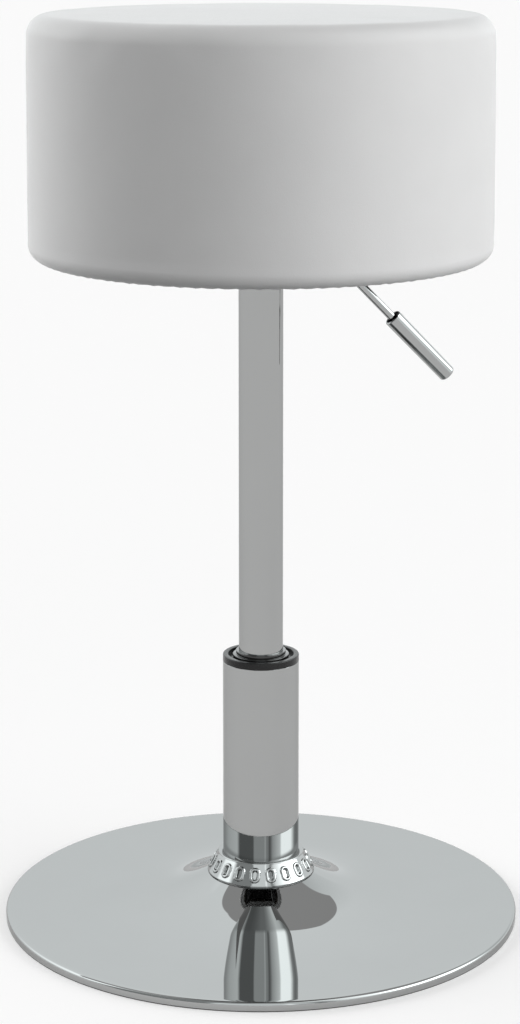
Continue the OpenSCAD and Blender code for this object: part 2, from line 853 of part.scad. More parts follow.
module release_pin() {
    color("#c8cccd")
        intersection() {
            union() {
                translate([0, 0, pin_foot_z])
                    cylinder(r = pin_r, h = pin_top_z - pin_foot_z);
                translate([0, 0, pin_foot_z])
                    cylinder(r = pin_collar_r, h = pin_collar_h);
            }
            union() {
                translate([0, 0, pin_top_z - dome_r])
                    sphere(r = dome_r);
                translate([0, 0, pin_foot_z])
                    cylinder(r = dome_r, h = pin_l);
            }
        }
}

// Welded socket of the seat bracket: taper seat, opening for the lever and two ears
module bracket_socket() {
    steel()
        difference() {
            union() {
                translate([0, 0, taper_z])
                    cylinder(r = socket_r, h = plate_bottom_z - taper_z);
                translate([socket_bore_r - over, -ear_out_y, ear_z])
                    cube([pivot_x + ear_reach - socket_bore_r + over, 2 * ear_out_y, ear_h]);
            }
            translate([0, 0, taper_z])
                cylinder(r1 = post_r + fit, r2 = taper_top_r + fit, h = taper_l);
            translate([0, 0, taper_z - over])
                cylinder(r = post_r + fit, h = over);
            translate([0, 0, post_top_z])
                cylinder(r = socket_bore_r, h = plate_bottom_z - post_top_z + over);
            translate([0, -window_half, socket_window_z])
                cube([pivot_x + ear_reach + over, 2 * window_half, socket_window_h]);
            translate([pivot_x, ear_out_y + over, pivot_z])
                rotate([90, 0, 0])
                    cylinder(r = pivot_r + fit / 2, h = 2 * ear_out_y + 2 * over);
        }
}

module at_bolts() {
    for (x = [-1, 1], y = [-1, 1])
        translate([x * bolt_at, y * bolt_at, 0])
            children();
}

// Square steel plate that carries the seat, welded on the socket
module bracket_plate() {
    side = bracket_w - 2 * bracket_round;
    steel()
        translate([0, 0, plate_bottom_z])
            difference() {
                union() {
                    translate([-bracket_w / 2, -side / 2, 0])
                        cube([bracket_w, side, bracket_t]);
                    translate([-side / 2, -bracket_w / 2, 0])
                        cube([side, bracket_w, bracket_t]);
                    for (x = [-1, 1], y = [-1, 1])
                        translate([x * side / 2, y * side / 2, 0])
                            cylinder(r = bracket_round, h = bracket_t);
                }
                translate([0, 0, -over])
                    cylinder(r = bracket_hole_r, h = bracket_t + 2 * over);
                translate([0, 0, -over])
                    at_bolts() cylinder(r = thread_r + screw_gap, h = bracket_t + 2 * over);
            }
}

module seat_bolts() {
    color("#6f7375")
        at_bolts()
            translate([0, 0, plate_bottom_z])
                difference() {
                    union() {
                        cylinder(r = thread_r, h = bracket_t + cloth_t + board_t - t_nut_t);
                        translate([0, 0, -bolt_head_h])
                            cylinder(d = bolt_head_d, h = bolt_head_h);
                    }
                    translate([0, 0, -bolt_head_h - over])
                        cylinder(d = key_w / cos(30), h = key_h + over, $fn = 6);
                }
}

// Threaded T-nuts let into the top of the board
module t_nuts() {
    color("#9a9684")
        at_bolts() {
            tube_between(t_nut_d / 2, thread_r + fit, board_top_z - t_nut_t, t_nut_t);
            tube_between(thread_r + t_nut_wall, thread_r + fit,
                board_top_z - t_nut_t - t_nut_l, t_nut_l);
        }
}

module pivot_pin() {
    color("#c8cccd")
        translate([pivot_x, 0, pivot_z])
            rotate([90, 0, 0])
                difference() {
                    translate([0, 0, -pivot_end_y])
                        cylinder(r = pivot_r, h = 2 * pivot_end_y);
                    for (s = [-1, 1])
                        translate([0, 0, s * (ear_out_y + pivot_clip_t) - pivot_clip_t / 2 - fit])
                            difference() {
                                cylinder(r = pivot_r + over, h = pivot_clip_t + 2 * fit);
                                translate([0, 0, -over])
                                    cylinder(r = pivot_r - pivot_groove,
                                        h = pivot_clip_t + 2 * over + 2 * fit);
                            }
                }
}

module pivot_clips() {
    color("#55595b")
        for (s = [-1, 1])
            translate([pivot_x, s * (ear_out_y + pivot_clip_t), pivot_z])
                rotate([90, 0, 0])
                    translate([0, 0, -pivot_clip_t / 2])
                        rotate_extrude(angle = 360 - clip_open)
                            translate([pivot_r - pivot_groove + fit, 0])
                                square([pivot_clip_w, pivot_clip_t]);
}

// Rocker on the pivot pin: its nose lies over the release pin, the rod plugs into its tail
module lever_rocker() {
    steel()
        difference() {
            translate([0, rocker_w / 2, 0])
                rotate([90, 0, 0])
                    linear_extrude(rocker_w)
                        polygon([
                            [-rocker_nose, rocker_z],
                            [pivot_x / 2, rocker_z],
                            [pivot_x - ear_reach, rocker_low_z],
                            [rocker_end_x, rocker_low_z],
                            [rocker_end_x, rocker_low_z + rocker_h],
                            [pivot_x - ear_reach, rocker_low_z + rocker_h],
                            [-rocker_nose, rocker_z + rocker_tip_h]
                        ]);
            translate([pivot_x, rocker_w, pivot_z])
                rotate([90, 0, 0])
                    cylinder(r = pivot_r + fit, h = 2 * rocker_w);
            translate([rod_start_x - fit, 0, pivot_z])
                rotate([0, 90, 0])
                    cylinder(r = lever_r + fit, h = rocker_tail);
        }
}

// Frame of the sloping part of the lever: its x axis runs down the rod from the corner
module down_the_lever() {
    translate([corner_x, 0, pivot_z])
        rotate([0, 90 + lever_slope, 0])
            children();
}

module lever_rod() {
    chrome() {
        translate([rod_start_x, 0, pivot_z])
            rotate([0, 90, 0])
                cylinder(r = lever_r, h = corner_x - bend_cut - rod_start_x + bend_lap, $fn = 48);
        translate([corner_x - bend_cut, 0, pivot_z - bend_r])
            rotate([90, 0, 0])
                rotate([0, 0, 90 - lever_slope])
                    rotate_extrude(angle = lever_slope)
                        translate([bend_r, 0])
                            circle(r = lever_r + bend_swell, $fn = 48);
        down_the_lever()
            translate([0, 0, bend_cut - bend_lap])
                cylinder(r = lever_r, h = straight_l + rod_in_handle + bend_lap, $fn = 48);
    }
}

// Tapered chrome handle: open mouth around the rod, closed round outer end
module lever_handle() {
    chrome()
        down_the_lever()
            translate([0, 0, leg_l])
                rotate_extrude()
                    polygon(concat(
                        [[handle_outer_r - handle_wall, 0], [handle_inner_r, 0]],
                        arc_line(handle_outer_r - handle_round, handle_l - handle_round,
                            handle_round, 0, 90, curve_steps),
                        [[0, handle_l], [0, handle_l - 2 * handle_wall]],
                        [[handle_outer_r - handle_wall, handle_l - 2 * handle_wall]]
                    ));
}

module handle_core() {
    color("#141414")
        down_the_lever()
            tube_between(core_r, lever_r + fit, leg_l + handle_mouth, core_l);
}

// Plywood board, with holes for the bolts and shallow seats for the T-nuts
module seat_board() {
    color("#c9a777")
        difference() {
            translate([0, 0, board_z])
                cylinder(r = board_r, h = board_t, $fn = 180);
            at_bolts() {
                translate([0, 0, board_z - over])
                    cylinder(r = thread_r + t_nut_wall + fit, h = board_t + 2 * over);
                translate([0, 0, board_top_z - t_nut_t - fit])
                    cylinder(r = t_nut_d / 2 + fit, h = t_nut_t + over);
            }
        }
}

module seat_ring() {
    color("#b8946a")
        tube_between(board_r, ring_in_r, seat_bottom + cover_t + fit, ring_h, $fn = 180);
}

// Thin black cloth between board and bracket
module dust_cloth() {
    color("#1b1b1b")
        difference() {
            tube_between(ring_in_r - soft_gap, cloth_hole_r, cloth_z, cloth_t);
            translate([0, 0, cloth_z - over])
                at_bolts() cylinder(r = thread_r + screw_gap, h = cloth_t + 2 * over);
        }
}

module foam_pad() {
    color("#e8d9a0")
        rotate_extrude($fn = 180)
            polygon(concat(
                crown_line(foam_in),
                top_edge_line(foam_in),
                side_line(foam_in, side_top_z, board_top_z + soft_gap),
                [side_at(foam_in, board_top_z + soft_gap), [0, board_top_z + soft_gap]]
            ));
}

// Foam around the board and the ring
module foam_wrap() {
    color("#e8d9a0")
        rotate_extrude($fn = 180)
            polygon(concat(
                [side_at(foam_in, board_top_z)],
                side_line(foam_in, board_top_z, side_low_z),
                low_edge_line(foam_in),
                [[board_r + soft_gap, seat_bottom + foam_in], [board_r + soft_gap, board_top_z]]
            ));
}

// Pale leather cover, pulled tight over the foam and turned under the seat
module seat_cover() {
    color("#dedede")
        rotate_extrude($fn = 180)
            polygon(concat(
                crown_line(0),
                top_edge_line(0),
                side_line(0, side_top_z, side_low_z),
                low_edge_line(0),
                [[cover_turn_r, seat_bottom], [cover_turn_r, seat_bottom + cover_t]],
                flip(low_edge_line(cover_t)),
                flip(side_line(cover_t, side_top_z, side_low_z)),
                flip(top_edge_line(cover_t)),
                flip(crown_line(cover_t))
            ));
}

// Wire staples through the turned edge of the cover into the ring
module staples() {
    color("#9a9ea0")
        ring_of(staple_count)
            translate([staple_r, 0, seat_bottom - staple_wire / 2]) {
                translate([-staple_wire / 2, -staple_w / 2, 0])
                    cube([staple_wire, staple_w, staple_wire]);
                for (s = [-1, 1])
                    translate([-staple_wire / 2, s * (staple_w - staple_wire) / 2
                        - staple_wire / 2, 0])
                        cube([staple_wire, staple_wire, staple_leg]);
            }
}

base_shell();
floor_ring();
cast_weight();
base_hub();
foot_screw_set();
outer_tube();
tube_plug();
trim_ring();
guide_collar();
wiper_ring();
lower_race();
ball_cage();
bearing_balls();
upper_race();
bump_stop();
rod_washer();
rod_clip();
piston_rod();
piston();
piston_seal();
upper_post();
rod_guide();
rod_seal();
valve_body();
valve_spring();
release_pin();
bracket_socket();
bracket_plate();
seat_bolts();
t_nuts();
pivot_pin();
pivot_clips();
lever_rocker();
lever_rod();
lever_handle();
handle_core();
seat_board();
seat_ring();
dust_cloth();
foam_pad();
foam_wrap();
seat_cover();
staples();
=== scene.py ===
import math

import bmesh
import bpy
from mathutils import Matrix, Vector
from mathutils.kdtree import KDTree


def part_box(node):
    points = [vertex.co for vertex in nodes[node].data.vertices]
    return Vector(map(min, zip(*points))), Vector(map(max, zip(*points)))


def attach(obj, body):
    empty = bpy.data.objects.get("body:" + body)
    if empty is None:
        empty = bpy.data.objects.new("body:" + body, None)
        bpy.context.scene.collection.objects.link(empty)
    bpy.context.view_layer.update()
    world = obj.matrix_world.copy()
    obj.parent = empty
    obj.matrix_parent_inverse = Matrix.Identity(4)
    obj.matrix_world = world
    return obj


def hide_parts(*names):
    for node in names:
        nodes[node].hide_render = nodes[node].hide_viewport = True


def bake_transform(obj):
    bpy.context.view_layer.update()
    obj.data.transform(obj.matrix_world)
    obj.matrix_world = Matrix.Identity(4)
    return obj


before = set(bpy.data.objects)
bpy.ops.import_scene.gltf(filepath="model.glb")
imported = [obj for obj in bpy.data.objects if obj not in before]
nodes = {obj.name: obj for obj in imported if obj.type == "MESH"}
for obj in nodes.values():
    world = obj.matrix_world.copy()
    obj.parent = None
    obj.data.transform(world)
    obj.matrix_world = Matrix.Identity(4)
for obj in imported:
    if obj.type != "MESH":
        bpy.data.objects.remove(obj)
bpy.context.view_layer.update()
stool = bpy.context.scene.collection

# Camera: stands in front of the stool, a little above the seat, turned so that the lever
# points to the right and slightly away. A small downward shift stands in for the lens shift
# that keeps the photograph's upright lines upright.
lever_turn = math.radians(16.5)
look = Vector((math.sin(lever_turn), math.cos(lever_turn), 0))
to_right = Vector((math.cos(lever_turn), -math.sin(lever_turn), 0))
camera_back = 1.961
camera_height = 0.775
camera_tilt = math.radians(8.226)
eye = bpy.data.objects.new("eye", bpy.data.cameras.new("eye"))
eye.data.sensor_width = 36
eye.data.lens = 95.0
eye.data.shift_x = -0.0009
eye.data.shift_y = -0.24
eye.data.clip_start = 0.05
eye.data.clip_end = 200
eye.location = -look * camera_back + Vector((0, 0, camera_height))
aim = look * math.cos(camera_tilt) - Vector((0, 0, math.sin(camera_tilt)))
eye.rotation_euler = aim.to_track_quat("-Z", "Y").to_euler()
stool.objects.link(eye)
bpy.context.scene.camera = eye
bpy.context.scene.view_settings.view_transform = "Standard"

# Floor: a wide pale sheet, painted matt. The camera and the chrome see it near to paper white,
# with the stool's shadow at half strength; it throws only a little light back up at the stool.
floor_r = 60
floor_sides = 96
floor_z = -0.0002
light_thrown_back = 0.22
paper_white = 0.95
shadow_taken_off = 0.5


def reckon(kind, a, b=0.0, c=0.0):
    """One step of arithmetic in a's node tree; b and c are sockets or plain numbers."""
    tree = a.id_data
    step = tree.nodes.new("ShaderNodeMath")
    step.operation = kind
    for socket, value in zip(step.inputs, (a, b, c)):
        if isinstance(value, (int, float)):
            socket.default_value = value
        else:
            tree.links.new(value, socket)
    return step.outputs[0]


def blend_of(factor, a, b):
    """The colour a where the factor is 0 and b where it is 1; each may also be a socket."""
    tree = factor.id_data
    mix = tree.nodes.new("ShaderNodeMix")
    mix.data_type = "RGBA"
    tree.links.new(factor, mix.inputs["Factor"])
    for socket, value in ((mix.inputs["A"], a), (mix.inputs["B"], b)):
        if isinstance(value, tuple):
            socket.default_value = (*value, 1)
        else:
            tree.links.new(value, socket)
    return mix.outputs["Result"]


floor_mesh = bpy.data.meshes.new("floor")
floor = bpy.data.objects.new("floor", floor_mesh)
stool.objects.link(floor)
bm = bmesh.new()
bmesh.ops.create_circle(bm, cap_ends=True, cap_tris=True, segments=floor_sides, radius=floor_r)
bm.to_mesh(floor_mesh)
bm.free()
floor.location = (0, 0, floor_z)
paint = bpy.data.materials.new("floor_paint")
paint.use_nodes = True
tree = paint.node_tree
tree.nodes.clear()
ray = tree.nodes.new("ShaderNodeLightPath")
seen = reckon("MAXIMUM", ray.outputs["Is Camera Ray"], ray.outputs["Is Glossy Ray"])
seen = reckon("MAXIMUM", seen, ray.outputs["Is Transmission Ray"])
matte = tree.nodes.new("ShaderNodeBsdfDiffuse")
tree.links.new(blend_of(seen, (light_thrown_back,) * 3, (1.0, 1.0, 1.0)), matte.inputs["Color"])
paper = tree.nodes.new("ShaderNodeEmission")
paper.inputs["Color"].default_value = (paper_white, paper_white, paper_white, 1)
faint_shadow = tree.nodes.new("ShaderNodeMixShader")
tree.links.new(reckon("MULTIPLY", seen, shadow_taken_off), faint_shadow.inputs["Fac"])
tree.links.new(matte.outputs[0], faint_shadow.inputs[1])
tree.links.new(paper.outputs[0], faint_shadow.inputs[2])
shown = tree.nodes.new("ShaderNodeOutputMaterial")
tree.links.new(faint_shadow.outputs[0], shown.inputs["Surface"])
paint.cycles.emission_sampling = "NONE"
floor_mesh.materials.append(paint)

# Room: a white studio, lit softly from both sides and hardly at all from overhead. The chrome
# mirrors a pale back wall, a large lamp to the camera's right, unlit parts to its left and a
# dim panel in the ceiling. The camera itself sees plain paper white.
backdrop = (1.370, 1.428, 1.439)
cool = (0.955, 1.005, 1.01)
neutral = (1, 1, 1)
low_walls_end = (0.265, 0.315)
walls_end = (0.69, 0.75)
ceiling_start = (0.565, 0.685)
panel_far_edges = ((0.32, 1.10), (1.29, 0.90), (0.39, 0.70))
panel_right = 0.66
panel_front = -0.1
panel_low = 0.3
panel_blur = 0.02
least_up = 0.05

# A colour ramp holds no level over 1, so each level is a share of the brightest.
brightest = 6.0
ceiling = 0.064 / brightest
panel = 0.535 / brightest
white = paper_white / brightest
room = bpy.data.worlds.new("room")
bpy.context.scene.world = room
room.use_nodes = True
tree = room.node_tree
tree.nodes.clear()
where = tree.nodes.new("ShaderNodeTexCoord")


def along(direction):
    """How far a ray in the room points in a direction."""
    dot = tree.nodes.new("ShaderNodeVectorMath")
    dot.operation = "DOT_PRODUCT"
    tree.links.new(where.outputs["Generated"], dot.inputs[0])
    dot.inputs[1].default_value = direction
    return dot.outputs["Value"]


def round_the_room(stops, tint):
    """Levels or colours by angle: 0 degrees is behind the camera, 90 to its right."""
    ramp = tree.nodes.new("ShaderNodeValToRGB")
    marks = ramp.color_ramp.elements
    while len(marks) > 1:
        marks.remove(marks[-1])
    for i, (degrees, level) in enumerate(stops):
        at = (degrees + 180) / 360
        mark = marks[0] if i == 0 else marks.new(at)
        mark.position = at
        shade = level if isinstance(level, tuple) else [level * part for part in tint]
        mark.color = (*(part / brightest for part in shade), 1)
    tree.links.new(turn, ramp.inputs[0])
    return ramp.outputs["Color"]


def between(value, low, high):
    """Rises softly from 0 at low to 1 at high."""
    span = tree.nodes.new("ShaderNodeMapRange")
    span.interpolation_type = "SMOOTHSTEP"
    tree.links.new(value, span.inputs["Value"])
    span.inputs["From Min"].default_value = low
    span.inputs["From Max"].default_value = high
    return span.outputs["Result"]


angle = reckon("ARCTAN2", along(to_right), along(-look))
turn = reckon("MULTIPLY_ADD", angle, 1 / (2 * math.pi), 0.5)
up = along((0, 0, 1))
walls = round_the_room([
    (-180, backdrop), (-145, backdrop), (-115, 2.14), (-78, 2.51), (-68, 0.46), (-24, 0.46),
    (-20, 1.38), (10, 1.38), (13, 2.1), (16, 1.25), (22, 1.05), (26, 0.43), (30, 0.75),
    (36, 1.6), (60, 3), (66, 5.67), (103, 5.67), (113, 3.21), (122, 1.28), (136, 0.86),
    (150, 1.18), (164, backdrop), (180, backdrop),
], cool)
over_walls = round_the_room([
    (-180, backdrop), (-78, 1.39), (-68, 0.4), (-46, 0.39), (-30, 0.46), (-13, 0.59), (0, 0.72),
    (18, 0.75), (34, 1.16), (51, 1.89), (69, 2.78), (90, 2.46), (114, 0.91), (136, 0.86),
    (150, 1.18), (164, backdrop), (180, backdrop),
], cool)
low_walls = round_the_room([
    (-180, backdrop), (-78, 1.39), (-68, 0.34), (-24, 0.34), (-20, 1.1), (10, 1.1), (13, 1.5),
    (16, 0.9), (22, 0.8), (26, 0.34), (30, 0.64), (36, 1.28), (108, 1.34), (128, backdrop),
    (180, backdrop),
], cool)
walls = blend_of(between(up, *low_walls_end), low_walls, walls)
picture = blend_of(between(up, *walls_end), walls, over_walls)

# The panel is a shape drawn on a flat ceiling. Its far edge is made of three straight lines,
# each given by its slope and its start, and its other edges are plain limits.
overhead = reckon("MAXIMUM", up, least_up)
across = reckon("DIVIDE", along(to_right), overhead)
behind = reckon("DIVIDE", along(look), overhead)
left, right, middle = [reckon("MULTIPLY_ADD", across, *edge) for edge in panel_far_edges]
far_edge = reckon("MAXIMUM", reckon("MINIMUM", left, right), middle)
inside = reckon("SUBTRACT", far_edge, behind)
for limit in (reckon("MULTIPLY_ADD", across, -1, panel_right),
              reckon("SUBTRACT", behind, panel_front), reckon("SUBTRACT", up, panel_low)):
    inside = reckon("MINIMUM", inside, limit)
picture = blend_of(between(inside, 0.0, panel_blur), picture, (panel, panel, panel))

soft_light = round_the_room([
    (-180, 1.85), (-160, 2.05), (-145, 3.7), (-128, 6.0), (-112, 6.0), (-97, 5.6),
    (-82, 1.83), (-68, 0.023), (-40, 0.023), (-22, 0.29), (-7, 0.51), (8, 0.88), (22, 1.5),
    (37, 2.7), (52, 4.85), (67, 5.8), (82, 4.65), (97, 2.4), (112, 0.7), (127, 0.25),
    (142, 0.9), (157, 1.7), (172, 1.85), (180, 1.85),
], neutral)
soft_light = blend_of(between(up, *ceiling_start), soft_light, (ceiling, ceiling, ceiling))
ray = tree.nodes.new("ShaderNodeLightPath")
lit = blend_of(ray.outputs["Is Glossy Ray"], soft_light, picture)
plain = reckon("MAXIMUM", ray.outputs["Is Camera Ray"], ray.outputs["Is Transmission Ray"])
glow = tree.nodes.new("ShaderNodeBackground")
glow.inputs["Strength"].default_value = brightest
tree.links.new(blend_of(plain, lit, (white, white, white)), glow.inputs["Color"])
tree.links.new(glow.outputs[0], tree.nodes.new("ShaderNodeOutputWorld").inputs["Surface"])

# Base: one disc of steel sheet, spun over a former into a low trumpet, its edge rolled down,
# polished and chrome plated. It is one mirror from the edge to the collar round the tube.
base_r = 0.1925
plate_z = 0.007
sheet = 0.0015
edge_round = 0.0026
lip_z = 0.0008
shoulder_r = 0.009
shoulder_turn = 14
nose_r = 0.0024
flat_outer_r = 0.187
rise_start_r = 0.155
rise_next_r = 0.154
throat_start_r = 0.090
throat_end_r = 0.044
collar_r = 0.036
dish_hole_r = 0.0288
throat_w = throat_start_r - throat_end_r
flare_w = rise_start_r - throat_end_r
flare_slope = math.radians(18)
throat_slope = math.radians(28)
flare_tan = math.tan(flare_slope)
throat_tan = math.tan(throat_slope) - flare_tan
flare_power = 1.25


def flare_share(r):
    return max(0.0, (rise_start_r - r) / flare_w)


def throat_share(r):
    return min(1.0, max(0.0, (throat_start_r - r) / throat_w))


def slope_at(r):
    t = throat_share(r)
    return math.atan(flare_tan * flare_share(r) ** flare_power
                     + throat_tan * t * t * (3 - 2 * t))


def height_at(r):
    t = throat_share(r)
    return (plate_z
            + flare_tan * flare_w * flare_share(r) ** (flare_power + 1) / (flare_power + 1)
            + throat_tan * throat_w * (t ** 3 - t ** 4 / 2)
            + throat_tan * max(0.0, throat_end_r - r))


def sheet_line(a, b, steps, below=0.0):
    """Points of the dish from radius a to b, or of a line at a distance below it."""
    radii = [a + (b - a) * i / steps for i in range(steps + 1)]
    drop = [below / math.cos(slope_at(r)) for r in radii]
    return [(r, height_at(r) - d) for r, d in zip(radii, drop)]


def arc(cx, cz, r, start, end, steps):
    turns = [math.radians(start + (end - start) * i / steps) for i in range(steps + 1)]
    return [(cx + r * math.cos(t), cz + r * math.sin(t)) for t in turns]


def join_rings(bm, rings, closed=False):
    """Faces from each ring of points to the next; a ring may be one point many times over."""
    for ring, following in zip(rings, rings[1:] + (rings[:1] if closed else [])):
        for corners in zip(ring, ring[1:] + ring[:1], following[1:] + following[:1], following):
            corners = list(dict.fromkeys(corners))
            if len(corners) > 2:
                bm.faces.new(corners)
    if not closed:
        bm.faces.new(rings[0])
        bm.faces.new(rings[-1])


def placed(name, bm, sharp=32):
    """Makes an object of the mesh, smooth except where its faces meet at over sharp degrees."""
    bmesh.ops.recalc_face_normals(bm, faces=bm.faces)
    for face in bm.faces:
        face.smooth = True
    for edge in bm.edges:
        if len(edge.link_faces) == 2 and edge.calc_face_angle() > math.radians(sharp):
            edge.smooth = False
    mesh = bpy.data.meshes.new(name)
    bm.to_mesh(mesh)
    bm.free()
    piece = bpy.data.objects.new(name, mesh)
    stool.objects.link(piece)
    return piece


def turned(name, outline, around=192, sharp=32):
    """A closed outline of (radius, height) points, swept round the column's axis."""
    bm = bmesh.new()
    turns = [2 * math.pi * k / around for k in range(around)]
    rings = []
    for r, z in outline:
        if r < 1e-6:
            rings.append([bm.verts.new((0, 0, z))] * around)
        else:
            rings.append([bm.verts.new((r * math.cos(t), r * math.sin(t), z)) for t in turns])
    join_rings(bm, rings, closed=True)
    return placed(name, bm, sharp)


def finish_named(name):
    material = bpy.data.materials.new(name)
    material.use_nodes = True
    return material, material.node_tree, material.node_tree.nodes["Principled BSDF"]


def speckle(tree, scale, detail, stretch=(1, 1, 1)):
    """A fine irregular pattern fixed to the piece, about 0.3 to 0.7 in value."""
    spot = tree.nodes.new("ShaderNodeTexCoord")
    stretched = tree.nodes.new("ShaderNodeMapping")
    stretched.inputs["Scale"].default_value = stretch
    tree.links.new(spot.outputs["Object"], stretched.inputs["Vector"])
    noise = tree.nodes.new("ShaderNodeTexNoise")
    noise.inputs["Scale"].default_value = scale
    noise.inputs["Detail"].default_value = detail
    tree.links.new(stretched.outputs[0], noise.inputs["Vector"])
    return noise.outputs["Fac"]


def spread(value, low, high, start=0.3, end=0.7):
    """Stretches a pattern's values from start..end to low..high."""
    tree = value.id_data
    span = tree.nodes.new("ShaderNodeMapRange")
    tree.links.new(value, span.inputs["Value"])
    span.inputs["From Min"].default_value = start
    span.inputs["From Max"].default_value = end
    span.inputs["To Min"].default_value = low
    span.inputs["To Max"].default_value = high
    return span.outputs["Result"]


bright_chrome, tree, shader = finish_named("bright_chrome")
chrome_colour = (0.386, 0.391, 0.389)
cloud_share = 0.985
clouded_chrome = tuple(cloud_share * part for part in chrome_colour)
shader.inputs["Metallic"].default_value = 1
shader.inputs["Specular Tint"].default_value = (0.70, 0.70, 0.70, 1)
clouding = spread(speckle(tree, 24, 4), 0, 1)
tree.links.new(blend_of(clouding, clouded_chrome, chrome_colour), shader.inputs["Base Color"])
tree.links.new(spread(speckle(tree, 160, 3), 0.012, 0.03), shader.inputs["Roughness"])

collar_z = height_at(collar_r)
lean = math.radians(shoulder_turn)
shoulder_x = base_r - shoulder_r * math.sin(lean) - nose_r * (1 - math.sin(lean))
nose_x = shoulder_x + (shoulder_r - nose_r) * math.sin(lean)
nose_z = plate_z - shoulder_r + (shoulder_r - nose_r) * math.cos(lean)
outline = [(base_r, lip_z)] + arc(nose_x, nose_z, nose_r, 0, 90 - shoulder_turn, 12)
outline += arc(shoulder_x, plate_z - shoulder_r, shoulder_r, 90 - shoulder_turn, 90, 6)[1:]
outline += sheet_line(flat_outer_r, rise_start_r, 6) + sheet_line(rise_next_r, collar_r, 119)
outline += [(dish_hole_r, collar_z), (dish_hole_r, collar_z - sheet)]
outline += sheet_line(collar_r, rise_start_r, 40, sheet)
outline += arc(base_r - edge_round, plate_z - edge_round, edge_round - sheet, 90, 0, 4)
outline += [(base_r - sheet, lip_z)]
base_dish = turned("base_dish", outline, 288)
base_dish.data.materials.append(bright_chrome)
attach(base_dish, "base")
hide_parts("base_shell")

# Floor ring: extruded black rubber, pressed in behind the rolled edge. Its lip shows as a
# thin dark line between the chrome and the floor. The bump stop and the gas spring's seals
# are moulded from the same rubber.


def relief(shader, value, depth):
    tree = value.id_data
    bump = tree.nodes.new("ShaderNodeBump")
    bump.inputs["Distance"].default_value = depth
    tree.links.new(value, bump.inputs["Height"])
    tree.links.new(bump.outputs[0], shader.inputs["Normal"])


def grained(name, scale, detail, dark, light, rough, depth=None, stretch=(1, 1, 1), more=()):
    """A finish whose colour, gloss and relief follow one grain; more holds other sockets."""
    material, tree, shader = finish_named(name)
    grain = speckle(tree, scale, detail, stretch)
    tree.links.new(blend_of(grain, dark, light), shader.inputs["Base Color"])
    tree.links.new(spread(grain, *rough), shader.inputs["Roughness"])
    for socket, value in dict(more).items():
        shader.inputs[socket].default_value = value
    if depth:
        relief(shader, grain, depth)
    return material


def finish_nodes(material, *names):
    for name in names:
        nodes[name].data.materials.clear()
        nodes[name].data.materials.append(material)


rubber = grained("black_rubber", scale=900, detail=4, dark=(0.018, 0.018, 0.018),
                 light=(0.04, 0.04, 0.04), rough=(0.62, 0.82), depth=0.00006)
finish_nodes(rubber, "floor_ring", "bump_stop", "piston_seal", "rod_seal")

# Weight under the base: a grey iron casting, bonded to the sheet. Sand-cast skin under a
# coat of dark primer.
cast_skin = grained("primed_iron", scale=420, detail=6, dark=(0.045, 0.047, 0.05),
                    light=(0.11, 0.112, 0.115), rough=(0.55, 0.8), depth=0.0004,
                    more={"Metallic": 0.35})
finish_nodes(cast_skin, "cast_weight")

# Hub, plug and the other turned steel pieces: cut from bar on a lathe, which leaves fine tool
# marks round the column's axis, and zinc plated in a dull grey.
turned_steel = grained("turned_steel", scale=60, detail=2, dark=(0.40, 0.41, 0.42),
                       light=(0.54, 0.55, 0.56), rough=(0.28, 0.42), depth=0.00004,
                       stretch=(1, 1, 40), more={"Metallic": 1})
finish_nodes(turned_steel, "base_hub", "tube_plug", "lower_race", "upper_race", "rod_washer",
             "valve_body", "lever_rocker")

# Screws, clips, pins, balls and staples: bought-in steel hardware with a brighter zinc coat.
# It holds the tube on its hub, the bracket on the board and the cover on its ring.
bright_zinc = grained("bright_zinc", scale=700, detail=3, dark=(0.52, 0.53, 0.54),
                      light=(0.66, 0.67, 0.68), rough=(0.2, 0.34), depth=0.00003,
                      more={"Metallic": 1})
finish_nodes(bright_zinc, "foot_screw_set", "bearing_balls", "rod_clip", "release_pin",
             "seat_bolts", "t_nuts", "pivot_pin", "pivot_clips", "staples")

# Bearing cage and rod guide: the cage is stamped bronze and keeps the balls apart between
# their races; the guide is sintered bronze, pressed into the foot of the post round the
# piston rod. Both are plain and a little dulled.
bronze = grained("dull_bronze", scale=500, detail=4, dark=(0.50, 0.37, 0.15),
                 light=(0.66, 0.51, 0.24), rough=(0.35, 0.5), depth=0.00004,
                 more={"Metallic": 1})
finish_nodes(bronze, "ball_cage", "rod_guide")

# Piston: turned aluminium, fixed on the end of the piston rod, with a groove for its sealing
# ring. It slides in the ground bore of the post.
alloy = grained("turned_alloy", scale=50, detail=2, dark=(0.55, 0.56, 0.57),
                light=(0.66, 0.67, 0.68), rough=(0.3, 0.42), stretch=(1, 1, 50),
                more={"Metallic": 1})
finish_nodes(alloy, "piston")

# Lower tube: drawn steel tube, polished and chrome plated, a plain mirror from the trim ring
# to the black collar.
tube_r = 0.0285
tube_wall = 0.002
tube_foot = 0.0098
tube_top = 0.194
tube_edge = 0.0003
tube = turned("lower_tube", [
    (tube_r, tube_foot), (tube_r, tube_top - tube_edge), (tube_r - tube_edge, tube_top),
    (tube_r - tube_wall, tube_top), (tube_r - tube_wall, tube_foot),
])
tube.data.materials.append(bright_chrome)
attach(tube, "base")
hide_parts("outer_tube")

